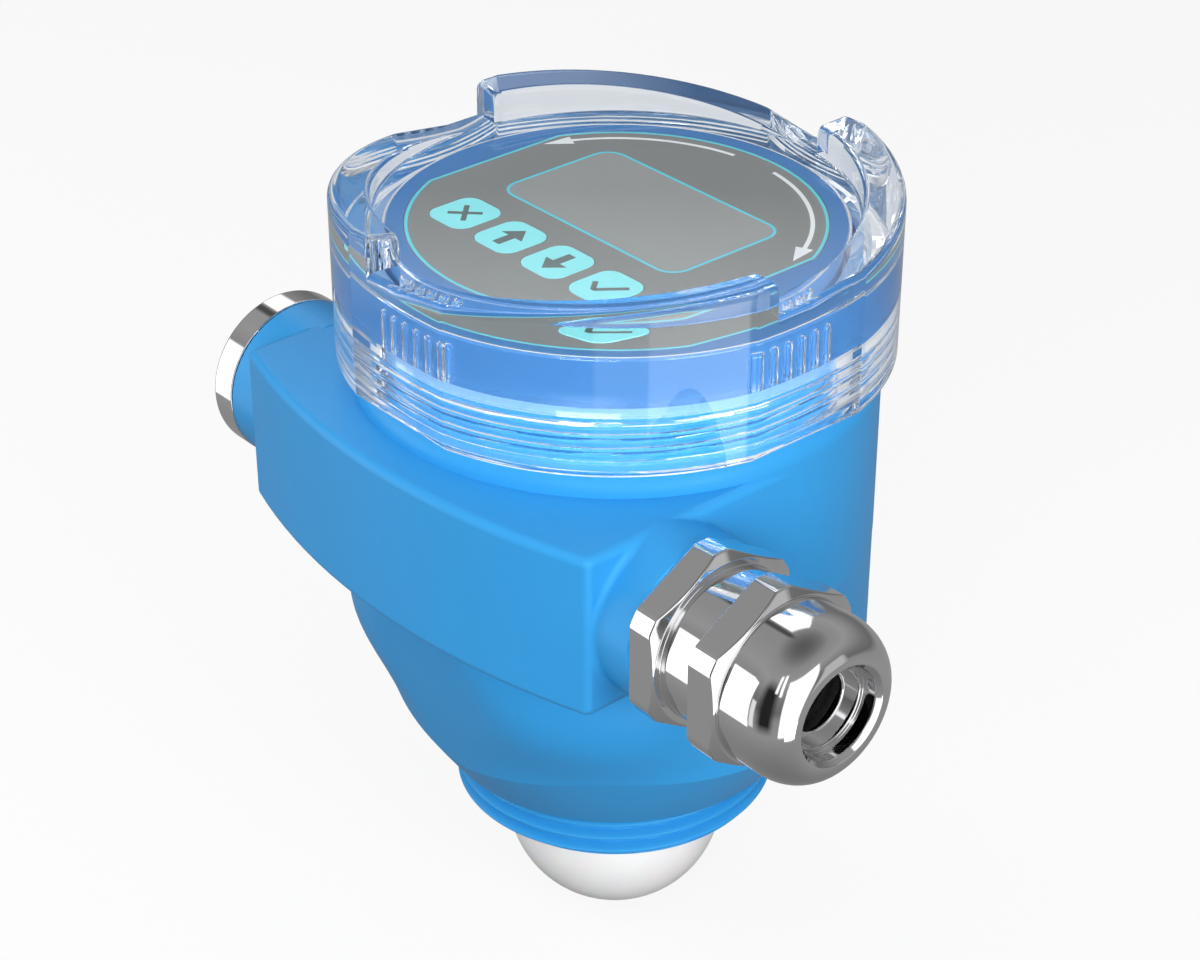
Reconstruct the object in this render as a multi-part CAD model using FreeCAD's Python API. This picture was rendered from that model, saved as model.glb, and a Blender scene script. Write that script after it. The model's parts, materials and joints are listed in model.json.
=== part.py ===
"""Compact radar level sensor, each separate piece as parts/NODE.step, mm, +Z up.

Origin: centre of the process thread's shoulder. +X runs along the cable gland,
-Y is the front, where the block with the two cable bosses is. The keys lie
nearest the front, and the nose with the lens points down.
"""
import math
import os

import FreeCAD
import Part

V = FreeCAD.Vector
X, Y, Z = V(1, 0, 0), V(0, 1, 0), V(0, 0, 1)
os.makedirs("parts", exist_ok=True)

# Fits and walls
RUN = 0.05              # running fit, as a radial gap
FIT = 0.1               # drop-in fit, as a radial gap
WALL = 3.2              # moulded wall
EDGE = 1.2              # rounding of the housing's edges
PAST = 1.0              # how far a cutting tool runs past the face it cuts

# Process thread G 1 1/2 on the nose, which is let into the housing from below
THREAD_R = 23.9         # major radius
NOSE_L = 8.7            # shoulder to the nose's end
NOSE_CHAMFER = 0.7
NOSE_FLANGE_R = THREAD_R + 0.6
NOSE_SEAT = 1.5         # depth of the housing's recess for the nose's flange
NOSE_BORE = 21.0        # bore above the recess
NOSE_TOP = 10.5
FLOOR_Z = 3.5           # housing's floor inside
NUT_R, NUT_H = 25.2, 4.0
NUT_SLOT_R = 1.6

# Lens
LENS_R = 16.45          # dome
LENS_STEM = 14.5
LENS_CENTRE = -14.5     # height of the dome's centre
LENS_TOP = 3.0
LENS_GROOVE_Z = -3.5
LENS_GROOVE_H = 2.4
SMALL_CORD = 0.8        # half thickness of the O-rings in the nose

# Round top
DRUM_R = 37.05
SHOULDER_FILLET = 3.0
NECK_R = DRUM_R - 2.45
NECK_WALL = 3.0
NECK_BORE = NECK_R - NECK_WALL

# Front block
BLOCK_Z0 = 36.7
BLOCK_H = 24.0
BLOCK_Z1 = BLOCK_Z0 + BLOCK_H
BLOCK_X = DRUM_R - 0.05     # half width, its side faces meet the drum
BLOCK_Y = -36.9             # corners of the bowed front
BOW = 6.0                   # how far the front bulges past its corners
SHOULDER_Z = BLOCK_Z1 + 3.3
NECK_TOP = SHOULDER_Z + 7.8

# Lower body: a rounded square that shrinks downwards, trimmed by a bowl
COLLAR_R = THREAD_R + 2.4   # bowl at the shoulder
BOWL = (5.7, 8.7)           # how far out and up its middle is from there
BOWL_H = 23.8
BOWL_WALL = 2.9
REACH = DRUM_R + 1.55       # farthest front corner of the rounded square
BODY = [                    # height, sides and front drawn in from the block, corner from REACH
    (-2.0, 5.0, 8.8, 6.3), (5.0, 4.6, 6.8, 5.8), (10.0, 4.3, 5.4, 5.2), (16.0, 4.1, 3.9, 2.7),
    (22.0, 3.5, 2.6, 0.1), (29.0, 2.2, 1.3, 0.0), (BLOCK_Z0, 0.1, 0.1, 0.0),
]

# Chambers inside the housing
CHAMBER_R = DRUM_R - 3.55
COVER_SEAT_R = CHAMBER_R - 2.9
COVER_Z = BLOCK_Z0 - 0.5
COVER_T = 2.5
DECK = COVER_Z + COVER_T

# Cable entries, M20 x 1.5
GLAND_Y = BLOCK_Y + 13.0
GLAND_Z = BLOCK_Z0 + BLOCK_H / 2
BOSS_R = 12.1
BOSS_ROOT = 1.0             # rounding where a boss meets the block's side
BOSS_FACE = BLOCK_X + 6.6
BOSS_EDGE = 0.3
ENTRY_R = 10.0              # M20 major radius
ENTRY_L = 11.0              # length of the threaded ends
HEX_AF = 24.0
HEX_TURNED = 13.2           # corners turned down to this radius
CORD = 0.75                 # half thickness of the entries' O-rings
CORD_R = ENTRY_R + CORD     # their middle radius

# Lid
LID_THREAD_R = NECK_R + 1.0
LID_WALL = 3.4
LID_R = LID_THREAD_R + LID_WALL
LID_FLAT = LID_R - 1.2      # axis to each of the four flats
LID_BORE = NECK_R - 1.6
LID_Z0 = SHOULDER_Z + 0.9
LID_LEDGE = NECK_TOP + 0.6  # top of the threaded bore
SEAL_R = LID_THREAD_R - 1.2
SEAL_TOP = LID_LEDGE + 1.1
CARRIER_H = 8.2             # neck's top to the faceplate's top
FACE_Z = NECK_TOP + CARRIER_H
WINDOW_GAP = 0.4
WINDOW_Z0 = FACE_Z + WINDOW_GAP
WINDOW_T = 4.1
LID_TOP = WINDOW_Z0 + WINDOW_T
RIBS_ON_LID = 4
RIB_RISE = 5.3
RIB_R0 = LID_BORE + 0.3     # inside of the ribs
RIB_SWEEP = 81.0            # degrees from foot to blunt face
BLUNT_AZ = -9.0             # first blunt face

# Display module
CARRIER_R = LID_BORE - 1.0
CARRIER_WALL = 2.2
GRIPS, GRIP_STEP, GRIP_R = 6, 4.3, 0.55
FACE_R = CARRIER_R - 3.1
FACE_FLAT = FACE_R - 2.5    # half distance of the faceplate's two flats
FACE_T = 1.0
FACE_LEDGE = 2.2            # width of the ledge under the faceplate
BOARD_T = 1.6
DISPLAY_Z = NECK_TOP + 0.2
DISPLAY_TOP = DISPLAY_Z + BOARD_T
KEY_NAMES = ["escape", "up", "down", "accept"]
KEY_PITCH = 9.8
KEY_X = [KEY_PITCH * (i - 1.5) for i in range(len(KEY_NAMES))]
KEY_Y = -(FACE_R - 14.3)
KEY_W, KEY_D, KEY_CORNER = 7.8, 8.4, 2.2
KEY_FLANGE = 0.4            # how far a key's flange sticks out under the plate
KEY_TRAVEL = 0.5
KEY_GAP = 0.15              # around each key
LCD = (8.5 - FACE_FLAT, FACE_FLAT - 8.5, KEY_Y + 8.5, FACE_R - 14.5)
LCD_CORNER = 3.0
PANE_T = 1.2


def cyl(r, z0, z1, x=0.0, y=0.0):
    return Part.makeCylinder(r, z1 - z0, V(x, y, z0), Z)


def rod(r, x0, x1):
    """A cylinder along the cable entries' axis."""
    return Part.makeCylinder(r, x1 - x0, V(x0, GLAND_Y, GLAND_Z), X)


def tube(ro, ri, z0, z1):
    return cyl(ro, z0, z1).cut(cyl(ri, z0 - PAST, z1 + PAST))


def box(x0, x1, y0, y1, z0, z1):
    return Part.makeBox(x1 - x0, y1 - y0, z1 - z0, V(x0, y0, z0))


def around(x, y, w, d, z0, z1):
    """A box w by d about (x, y)."""
    return box(x - w / 2, x + w / 2, y - d / 2, y + d / 2, z0, z1)


def turned(points):
    """A solid of revolution about Z from (radius, height) points."""
    wire = Part.makePolygon([V(r, 0, z) for r, z in points + points[:1]])
    return Part.Face(wire).revolve(V(0, 0, 0), Z, 360)


def turned_x(points, curve=()):
    """A solid of revolution about the entries' axis from (x, radius) points.

    The outline closes from the last point back to the first, along the Bezier
    curve through the given control points where there are any.
    """
    at = [V(x, GLAND_Y + r, GLAND_Z) for x, r in points]
    edges = [Part.makeLine(a, b) for a, b in zip(at, at[1:])]
    if curve:
        bend = Part.BezierCurve()
        bend.setPoles([at[-1]] + [V(x, GLAND_Y + r, GLAND_Z) for x, r in curve] + [at[0]])
        edges.append(bend.toShape())
    else:
        edges.append(Part.makeLine(at[-1], at[0]))
    return Part.Face(Part.Wire(edges)).revolve(V(0, GLAND_Y, GLAND_Z), X, 360)


def soft_box(x0, x1, y0, y1, z0, z1, r):
    """A box with its four upright edges rounded."""
    b = box(x0, x1, y0, y1, z0, z1)
    upright = [e for e in b.Edges if abs(e.BoundBox.ZLength - (z1 - z0)) < 1e-6]
    return b.makeFillet(r, upright)


def ring(major, minor, centre, axis):
    return Part.makeTorus(major, minor, centre, axis)


def fuse(shapes):
    out = shapes[0]
    for s in shapes[1:]:
        out = out.fuse(s)
    return out.removeSplitter()


def save(name, shape):
    if shape.ShapeType == "Compound" and len(shape.Solids) == 1:
        shape = shape.Solids[0]
    if not shape.isValid():
        print("check this shape:", name)
    shape.exportStep(f"parts/{name}.step")


def polar(r, deg):
    return r * math.cos(math.radians(deg)), r * math.sin(math.radians(deg))


def screw(x, y, z, r, length, head_r, head_h):
    """A slotted screw whose head sits on height z."""
    slot = 0.27 * head_r
    body = fuse([cyl(r, z - length, z, x, y), cyl(head_r, z, z + head_h, x, y)])
    return body.cut(around(x, y, 2 * head_r + PAST, slot, z + head_h / 2, z + head_h + PAST))


# Housing

def corner_radius(w, d, reach):
    """Radius of an arc that rounds the corner (w, d) and just touches the circle of radius reach."""
    return w + d - reach - math.sqrt(2 * (reach - w) * (reach - d))


def rounded_square(z, half, front, reach):
    """Section of the lower body: its front corners reach out to reach, its back ones to the drum."""
    edges = []
    first = last = None
    for sx, sy in [(1, -1), (1, 1), (-1, 1), (-1, -1)]:
        d = front if sy < 0 else half
        r = corner_radius(half, d, reach if sy < 0 else DRUM_R - RUN)
        cx, cy = sx * (half - r), sy * (d - r)
        side, end = V(sx * half, cy, z), V(cx, sy * d, z)
        c = r * math.sqrt(0.5)
        a, b = (end, side) if sx * sy < 0 else (side, end)
        if last is None:
            first = a
        else:
            edges.append(Part.makeLine(last, a))
        edges.append(Part.Arc(a, V(cx + sx * c, cy + sy * c, z), b).toShape())
        last = b
    edges.append(Part.makeLine(last, first))
    return Part.Wire(edges)


def block(inset, z0, z1):
    """The front block: straight sides and a bowed front, offset inwards by inset."""
    w = BLOCK_X - inset
    y0 = BLOCK_Y + inset
    a, m, b = V(-w, y0, z0), V(0, y0 - BOW, z0), V(w, y0, z0)
    wire = Part.Wire([
        Part.Arc(a, m, b).toShape(), Part.makeLine(b, V(w, 0, z0)),
        Part.makeLine(V(w, 0, z0), V(-w, 0, z0)), Part.makeLine(V(-w, 0, z0), a)])
    return Part.Face(wire).extrude(V(0, 0, z1 - z0))


def bowl():
    """A solid of revolution whose side swells from the collar to past REACH, then rises straight."""
    foot, rim = V(COLLAR_R, 0, 0), V(REACH + PAST, 0, BOWL_H)
    swell = Part.Arc(foot, V(COLLAR_R + BOWL[0], 0, BOWL[1]), rim).toShape()
    rest = Part.makePolygon([rim, V(rim.x, 0, BLOCK_Z0), V(0, 0, BLOCK_Z0), V(0, 0, 0), foot])
    return Part.Face(Part.Wire([swell] + rest.Edges)).revolve(V(0, 0, 0), Z, 360)


def lower_body():
    sections = [rounded_square(z, BLOCK_X - side, -BLOCK_Y - front, REACH - corner)
                for z, side, front, corner in BODY]
    return Part.makeLoft(sections, True, False).common(bowl())


def soften(shape, r, pick):
    """Rounds the edges that pick says."""
    return shape.makeFillet(r, [e for e in shape.Edges if pick(e)])


def inner_space():
    """Electronics chamber, the ledge for its cover, wiring chamber and the neck's bore.

    Low down, the chamber keeps its wall to the block's sides and to the bowl.
    """
    low = [(FLOOR_Z, 11.4), (8.0, 9.8), (16.0, 7.6), (26.0, 6.4)]
    slope = (REACH - COLLAR_R) / BOWL_H
    steps = [(min(BLOCK_X - side, COLLAR_R + slope * z - BOWL_WALL), z) for z, side in low]
    steps += [(COVER_SEAT_R, COVER_Z), (CHAMBER_R, COVER_Z), (CHAMBER_R, BLOCK_Z1 - 1.7),
              (NECK_BORE, BLOCK_Z1 + 0.1), (NECK_BORE, NECK_TOP + PAST)]
    return turned([(0, FLOOR_Z)] + steps + [(0, NECK_TOP + PAST)])


blk = block(0, BLOCK_Z0, BLOCK_Z1)
blk = soften(blk, EDGE, lambda e: e.BoundBox.YMax < BLOCK_Y + 0.01)
blk = soften(blk, EDGE, lambda e: e.BoundBox.ZLength < 0.01 and abs(abs(e.CenterOfMass.x) - BLOCK_X) < 0.01)
for s in (-1, 1):
    x0, x1 = sorted((s * (BLOCK_X - 2 * BOSS_ROOT), s * BOSS_FACE))
    boss = soften(rod(BOSS_R, x0, x1), BOSS_EDGE, lambda e: abs(abs(e.CenterOfMass.x) - BOSS_FACE) < 0.01)
    blk = fuse([blk, boss])
near = BOSS_R + BOSS_ROOT
blk = soften(blk, BOSS_ROOT, lambda e: (
    e.BoundBox.XLength < 0.001 and abs(abs(e.BoundBox.XMax) - BLOCK_X) < 0.001
    and e.BoundBox.YMin > GLAND_Y - near and e.BoundBox.YMax < GLAND_Y + near))
drum = cyl(DRUM_R, BLOCK_Z0, SHOULDER_Z)
drum = soften(drum, SHOULDER_FILLET, lambda e: e.BoundBox.ZMin > SHOULDER_Z - 0.01)
housing = fuse([lower_body(), drum, blk, cyl(NECK_R, SHOULDER_Z - PAST, NECK_TOP)])
housing = housing.cut(inner_space()).cut(cyl(NUT_R + FIT, FLOOR_Z, FLOOR_Z + NUT_H + PAST))
housing = housing.cut(block(WALL, BLOCK_Z0 + WALL, BLOCK_Z1 - WALL))
housing = housing.cut(cyl(NOSE_FLANGE_R + RUN, -PAST, NOSE_SEAT)).cut(cyl(NOSE_BORE, 0, FLOOR_Z + PAST))
housing = housing.cut(rod(ENTRY_R + RUN, -BOSS_FACE - PAST, BOSS_FACE + PAST))
for s in (-1, 1):
    x0, x1 = sorted((s * (BOSS_FACE - 2 * CORD), s * (BOSS_FACE + PAST)))
    housing = housing.cut(rod(CORD_R + CORD + RUN, x0, x1))
save("housing", housing)

# Nose, its nut and the lens

LENS_BORE = LENS_STEM + FIT
NOSE_NECK = NOSE_BORE - RUN
CORD_Z = NOSE_SEAT + SMALL_CORD + 0.1
groove = 2 * SMALL_CORD
GROOVE_TOP = NOSE_SEAT + groove + 0.2
nose = turned([
    (LENS_BORE, -NOSE_L), (THREAD_R - NOSE_CHAMFER, -NOSE_L), (THREAD_R, -NOSE_L + NOSE_CHAMFER),
    (THREAD_R, 0), (NOSE_FLANGE_R, 0), (NOSE_FLANGE_R, NOSE_SEAT), (NOSE_NECK - groove, NOSE_SEAT),
    (NOSE_NECK - groove, GROOVE_TOP), (NOSE_NECK, GROOVE_TOP), (NOSE_NECK, NOSE_TOP), (LENS_BORE, NOSE_TOP)])
save("nose_oring", ring(NOSE_NECK - SMALL_CORD, SMALL_CORD, V(0, 0, CORD_Z), Z))
nut = tube(NUT_R, NOSE_BORE, FLOOR_Z, FLOOR_Z + NUT_H)
for i in range(4):
    x, y = polar(NUT_R, 90 * i)
    nut = nut.cut(cyl(NUT_SLOT_R, FLOOR_Z - PAST, FLOOR_Z + NUT_H + PAST, x, y))
save("nose_nut", nut)

dome = Part.makeSphere(LENS_R, V(0, 0, LENS_CENTRE))
dome = dome.common(cyl(LENS_R + PAST, LENS_CENTRE - LENS_R - PAST, LENS_CENTRE))
lens = fuse([dome, cyl(LENS_R, LENS_CENTRE, -NOSE_L), cyl(LENS_STEM, -NOSE_L, LENS_TOP)])
lens = lens.cut(tube(LENS_R, LENS_BORE - 2 * SMALL_CORD,
                     LENS_GROOVE_Z - LENS_GROOVE_H / 2, LENS_GROOVE_Z + LENS_GROOVE_H / 2))
save("lens", lens)
save("lens_oring", ring(LENS_BORE - SMALL_CORD, SMALL_CORD, V(0, 0, LENS_GROOVE_Z), Z))

# Electronics

HORN_R = LENS_STEM - FIT
HORN_FLANGE = NOSE_BORE - 1.5
FLANGE_T = 2.0
RADAR_Z = NOSE_TOP + 4.5
HORN_SCREW = (1.4, 6.0, 2.6, 1.8)       # radius, length, head radius, head height
horn = turned([
    (HORN_R - 1.8, LENS_TOP), (HORN_R, LENS_TOP), (HORN_R, NOSE_TOP), (HORN_FLANGE, NOSE_TOP),
    (HORN_FLANGE, NOSE_TOP + FLANGE_T), (8.0, NOSE_TOP + FLANGE_T), (7.0, RADAR_Z), (1.6, RADAR_Z),
    (1.6, RADAR_Z - 2.2)])
for i, name in enumerate("abc"):
    x, y = polar((HORN_R + HORN_FLANGE) / 2, 120 * i + 30)
    r, length = HORN_SCREW[:2]
    nose = nose.cut(cyl(r, NOSE_TOP - length, NOSE_TOP + PAST, x, y))
    horn = horn.cut(cyl(r, NOSE_TOP - PAST, NOSE_TOP + FLANGE_T + PAST, x, y))
    save("horn_screw_" + name, screw(x, y, NOSE_TOP + FLANGE_T, r, length, *HORN_SCREW[2:]))
save("feed_horn", horn)
save("process_connection", nose)

MAIN_Z = COVER_Z - 7.2
MAIN_TOP = MAIN_Z + BOARD_T
MAIN_R = COVER_SEAT_R - 1.6
RADAR_R = MAIN_R - 5.0
RADAR_TOP = RADAR_Z + BOARD_T
POST_CIRCLE = RADAR_R - 4.5
POST_R, PEG_R, PEG_L = 2.6, 1.3, 3.0
BOARD_SCREW = (1.2, 6.0, 2.4, 1.7)
radar = cyl(RADAR_R, RADAR_Z, RADAR_TOP)
main = cyl(MAIN_R, MAIN_Z, MAIN_TOP)
for i, name in enumerate("abc"):
    x, y = polar(POST_CIRCLE, 120 * i + 90)
    post = fuse([cyl(POST_R, RADAR_TOP, MAIN_Z, x, y), cyl(PEG_R, RADAR_TOP - PEG_L, RADAR_TOP, x, y)])
    save("standoff_" + name, post.cut(cyl(PEG_R, MAIN_TOP - BOARD_SCREW[1], MAIN_Z + PAST, x, y)))
    radar = radar.cut(cyl(PEG_R + RUN, RADAR_Z - PAST, RADAR_TOP + PAST, x, y))
    main = main.cut(cyl(PEG_R, MAIN_Z - PAST, MAIN_TOP + PAST, x, y))
    save("board_screw_" + name, screw(x, y, MAIN_TOP, *BOARD_SCREW))
save("radar_board", fuse([radar, around(-8, -13, 8, 6, RADAR_TOP, RADAR_TOP + 1.2)]))
save("shield_can", soft_box(-8, 8, -7, 7, RADAR_TOP, RADAR_TOP + 3.2, 1.5))
CHIP = (10.5 - POST_CIRCLE, 12.5 - POST_CIRCLE, 10, 10)     # centre, width and depth
CONVERTER = (POST_CIRCLE - 9.5, 1, 12, 10)
CAP_R, CAP_H, CAP_STEP = 3.0, 4.2, 7.0
save("main_board", fuse([
    main, around(*CHIP, MAIN_TOP, MAIN_TOP + 1.4), around(*CONVERTER, MAIN_TOP, MAIN_TOP + 3.5)]))
caps = [cyl(CAP_R, MAIN_TOP, MAIN_TOP + CAP_H, CAP_STEP * s, 3.5 - POST_CIRCLE) for s in (-0.5, 0.5)]
save("capacitors", Part.makeCompound(caps))

# Wiring compartment

save("compartment_cover", cyl(CHAMBER_R - 0.2, COVER_Z, DECK))
TERMINALS = 6
TERMINAL_PITCH = 7.33
TB_W = TERMINALS * TERMINAL_PITCH
TB_Y0, TB_Y1 = -4.0, 9.0
TB_H, TB_STEP, TB_STEP_D = 11.5, 7.5, 4.0
TB_SCREW_R, TB_SCREW_H = 2.2, 2.6
WELL_FLOOR = DECK + 6.5
blocks = box(-TB_W / 2, TB_W / 2, TB_Y0, TB_Y1, DECK, DECK + TB_H)
blocks = blocks.cut(box(-TB_W, TB_W, TB_Y0 - PAST, TB_Y0 + TB_STEP_D, DECK + TB_STEP, DECK + TB_H + PAST))
for i in range(TERMINALS):
    x = TERMINAL_PITCH * (i + 0.5) - TB_W / 2
    y = TB_Y1 - 4.2
    blocks = blocks.cut(Part.makeCylinder(1.9, 7 + PAST, V(x, TB_Y0 - PAST, DECK + 3.6), Y))
    blocks = blocks.cut(cyl(TB_SCREW_R + 0.3, WELL_FLOOR, DECK + TB_H + PAST, x, y))
    clamp = cyl(TB_SCREW_R, WELL_FLOOR, WELL_FLOOR + TB_SCREW_H, x, y)
    slot = around(x, y, 2 * TB_SCREW_R + PAST, 0.8, WELL_FLOOR + TB_SCREW_H - 1, WELL_FLOOR + TB_SCREW_H + PAST)
    save(f"terminal_screw_{i + 1}", clamp.cut(slot))
save("terminal_block", blocks)

# Display module

SKIRT_R = NECK_BORE - 0.2
SKIRT_Z0 = SHOULDER_Z + 0.5
CARRIER_BORE = SKIRT_R - 2.0
LIP_R = CARRIER_BORE - 2.8
RIM_Z = FACE_Z - FACE_T - 1.4
carrier = turned([
    (CARRIER_BORE, SKIRT_Z0), (SKIRT_R, SKIRT_Z0), (SKIRT_R, NECK_TOP), (CARRIER_R, NECK_TOP),
    (CARRIER_R, FACE_Z - 0.6), (CARRIER_R - 0.6, FACE_Z), (LIP_R - 1.1, FACE_Z), (LIP_R - 1.1, RIM_Z),
    (CARRIER_BORE, RIM_Z), (CARRIER_BORE, DISPLAY_Z), (LIP_R, DISPLAY_Z), (LIP_R, DISPLAY_Z - 1.6),
    (CARRIER_BORE, DISPLAY_Z - 3.4)])


def face_shape(r, flat, z0, z1):
    return cyl(r, z0, z1).common(box(-flat, flat, -r, r, z0, z1))


carrier = carrier.cut(face_shape(FACE_R + FIT, FACE_FLAT + FIT, FACE_Z - FACE_T, FACE_Z + PAST))
carrier = carrier.cut(face_shape(FACE_R - FACE_LEDGE, FACE_FLAT - FACE_LEDGE, RIM_Z - PAST, FACE_Z + PAST))
grips = []
for side in range(4):
    for i in range(GRIPS):
        x, y = polar(CARRIER_R, 90 * side + GRIP_STEP * (i - (GRIPS - 1) / 2))
        top = FACE_Z - 4 * GRIP_R
        grips.append(cyl(GRIP_R, NECK_TOP + 0.6, top, x, y))
        grips.append(Part.makeSphere(GRIP_R, V(x, y, top)))
save("display_carrier", fuse([carrier] + grips))

CABLE_W = 8.0
SOCKET_Y = CHAMBER_R - 12.5
SOCKET_TOP = DECK + 6
board = cyl(CARRIER_BORE - 0.2, DISPLAY_Z, DISPLAY_TOP)
save("display_board", board.cut(around(0, SOCKET_Y, CABLE_W + 2, 4, DISPLAY_Z - PAST, DISPLAY_TOP + PAST)))
HOLDER_TOP = FACE_Z - FACE_T - PANE_T
hx0, hx1, hy0, hy1 = LCD[0] - 2.5, LCD[1] + 2.5, LCD[2] - 2.3, LCD[3] + 2.3
holder = box(hx0, hx1, hy0, hy1, DISPLAY_TOP, HOLDER_TOP)
save("lcd_holder", holder.cut(box(hx0 + 2, hx1 - 2, hy0 + 2, hy1 - 2, DISPLAY_TOP + 1.2, HOLDER_TOP + PAST)))
save("lcd_glass", box(hx0 + 0.3, hx1 - 0.3, hy0 + 0.3, hy1 - 0.3, HOLDER_TOP, HOLDER_TOP + PANE_T))


def key_shape(x, grow, z0, z1):
    """A key's rounded outline, grown by a gap or a flange."""
    w, d = KEY_W / 2 + grow, KEY_D / 2 + grow
    return soft_box(x - w, x + w, KEY_Y - d, KEY_Y + d, z0, z1, KEY_CORNER + grow)


face = face_shape(FACE_R, FACE_FLAT, FACE_Z - FACE_T, FACE_Z)
face = face.cut(soft_box(*LCD, FACE_Z - FACE_T - PAST, FACE_Z + PAST, LCD_CORNER))
for x in KEY_X:
    face = face.cut(key_shape(x, KEY_GAP, FACE_Z - FACE_T - PAST, FACE_Z + PAST))
save("faceplate", face)
save("lcd_window", soft_box(LCD[0] + RUN, LCD[1] - RUN, LCD[2] + RUN, LCD[3] - RUN,
                            FACE_Z - FACE_T, FACE_Z, LCD_CORNER - RUN))

SWITCH_H, PLUNGER_H = 2.0, 0.6
SWITCH_TOP = DISPLAY_TOP + SWITCH_H + PLUNGER_H
UNDER = FACE_Z - FACE_T - FIT
for x, name in zip(KEY_X, KEY_NAMES):
    cap = key_shape(x, 0, UNDER - KEY_FLANGE, FACE_Z + FIT)
    flange = key_shape(x, KEY_FLANGE, UNDER - 2 * KEY_FLANGE, UNDER)
    stem = cyl(1.5, SWITCH_TOP + KEY_TRAVEL + FIT, UNDER - KEY_FLANGE, x, KEY_Y)
    save("key_" + name, fuse([cap, flange, stem]))
    switch = around(x, KEY_Y, 6, 6, DISPLAY_TOP, DISPLAY_TOP + SWITCH_H)
    save("switch_" + name, fuse([switch, cyl(1.6, DISPLAY_TOP + SWITCH_H, SWITCH_TOP, x, KEY_Y)]))

save("display_socket", around(0, SOCKET_Y, 12, 5, DECK, SOCKET_TOP))
zs = [SOCKET_TOP, SOCKET_TOP + 6, (SOCKET_TOP + DISPLAY_Z) / 2, DISPLAY_Z - 5, DISPLAY_TOP]
ys = [SOCKET_Y, SOCKET_Y, SOCKET_Y - 5, SOCKET_Y, SOCKET_Y]
curve = Part.BSplineCurve()
curve.interpolate([V(-CABLE_W / 2, y, z) for y, z in zip(ys, zs)])
save("display_cable", curve.toShape().extrude(V(CABLE_W, 0, 0)).extrude(V(0, 0.5, 0)))

# Lid

def squared(shape, z0, z1):
    """Trims a round shape to the lid's four flats."""
    return shape.common(box(-LID_FLAT, LID_FLAT, -LID_FLAT, LID_FLAT, z0, z1))


def ramped_rib():
    """A rib on the lid's rim that rises along +X from its foot at -Y to its blunt face."""
    z0 = LID_TOP - PAST
    z1 = LID_TOP + 2 * RIB_RISE
    far = 2 * LID_R
    slope = RIB_RISE / (LID_R * math.sin(math.radians(RIB_SWEEP)))
    x, y = polar(far, BLUNT_AZ)
    plan = Part.makePolygon([V(*p, z0) for p in [(0, 0), (0, -far), (far, -far), (x, y), (0, 0)]])
    sector = Part.Face(plan).extrude(V(0, 0, z1 - z0))
    side = Part.makePolygon([V(px, -far, pz) for px, pz in [
        (0, z0), (far, z0), (far, LID_TOP + far * slope), (0, LID_TOP), (0, z0)]])
    under_ramp = Part.Face(side).extrude(V(0, 2 * far, 0))
    return squared(tube(LID_R, RIB_R0, z0, z1), z0, z1).common(sector).common(under_ramp)


pieces = [squared(cyl(LID_R, LID_Z0, LID_TOP), LID_Z0, LID_TOP)]
for i in range(RIBS_ON_LID):
    rib = ramped_rib()
    rib.rotate(V(0, 0, 0), Z, 360 / RIBS_ON_LID * i)
    pieces.append(rib)
lid = fuse(pieces)
lid = lid.cut(cyl(LID_THREAD_R, LID_Z0 - PAST, LID_LEDGE))
lid = lid.cut(cyl(SEAL_R + RUN, LID_LEDGE - PAST, SEAL_TOP + RUN)).cut(cyl(LID_BORE, LID_LEDGE, WINDOW_Z0))
save("lid", lid)
save("lid_seal", tube(SEAL_R, CARRIER_R + GRIP_R + 0.2, NECK_TOP, SEAL_TOP))

# Cable gland

HEX1 = (BOSS_FACE, BOSS_FACE + 4.6)
HEX2 = (BOSS_FACE + 10.7, BOSS_FACE + 15.6)
WAIST_R = 10.8
BODY_END = BOSS_FACE + 18.4
BODY_BORE = 8.05            # holds the seal insert
THROAT_R = 6.5
SEAL_START = HEX2[0] - 0.3
SEAL_FACE = BODY_END + 0.3
CABLE_R = 3.9
CLAMP_END = SEAL_FACE + 2.9
CLAMP_R, CLAMP_BORE = 8.5, 5.2
NUT_END = BOSS_FACE + 25.7
DOME_R, DOME_DEPTH, DOME_FACE_R = 11.4, 6.0, 7.2
MOUTH_R, MOUTH_STEP_R = 6.3, 5.6
CHAMFER = 1.5
CIRCLE = 0.5523             # a quarter round's handle length for a cubic curve


def hexagon(x, across_flats, first_corner):
    r = across_flats / 2 / math.cos(math.pi / 6)
    angles = [math.radians(first_corner + 60 * i) for i in range(7)]
    return Part.Face(Part.makePolygon(
        [V(x, GLAND_Y + r * math.cos(a), GLAND_Z + r * math.sin(a)) for a in angles]))


def hex_bar(x0, x1):
    """Hexagon with a flat facing the front, its corners turned and its outer end chamfered."""
    bar = hexagon(x0, HEX_AF, 30).extrude(V(x1 - x0, 0, 0))
    return bar.common(turned_x([
        (x0, 0), (x0, HEX_TURNED), (x1 - CHAMFER / 2, HEX_TURNED), (x1, HEX_TURNED - CHAMFER), (x1, 0)]))


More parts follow.
